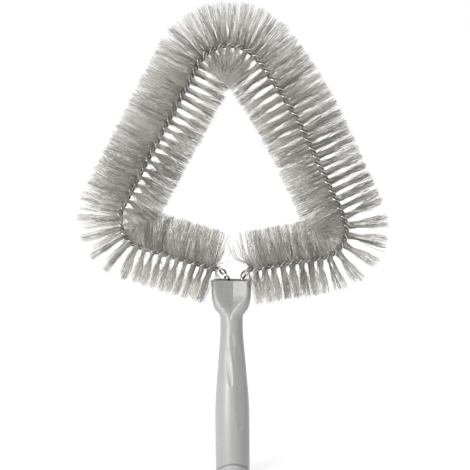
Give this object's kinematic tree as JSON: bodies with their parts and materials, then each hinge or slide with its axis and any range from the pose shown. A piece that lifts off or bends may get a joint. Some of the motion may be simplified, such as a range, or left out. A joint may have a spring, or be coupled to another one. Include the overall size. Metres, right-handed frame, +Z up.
{
  "type": "triangular cobweb brush",
  "caption": "Hand brush with a triangular head of spiral bristles on twisted wire, on a moulded handle whose open end takes a broom pole.",
  "frame": {"origin": "centre of the pole socket's open end, in the plane of the handle's bottom rim", "axes": "+Z up along the handle towards the brush head, +X to the right in the picture, -Y towards the viewer; the triangle lies in the XZ plane"},
  "size_m": [0.2769, 0.0726, 0.4283],
  "materials": {
    "handle_plastic": "smooth moulded light grey",
    "stem_wire": "drawn galvanised wire",
    "bristle_filament": "thin warm grey filaments"
  },
  "bodies": {
    "root": {"handle": "handle_plastic", "wire_strand_a": "stem_wire", "wire_strand_b": "stem_wire", "bristles_left_base": "bristle_filament", "bristles_left_corner": "bristle_filament", "bristles_left_side": "bristle_filament", "bristles_apex": "bristle_filament", "bristles_right_side": "bristle_filament", "bristles_right_corner": "bristle_filament", "bristles_right_base": "bristle_filament"}
  },
  "joints": []
}
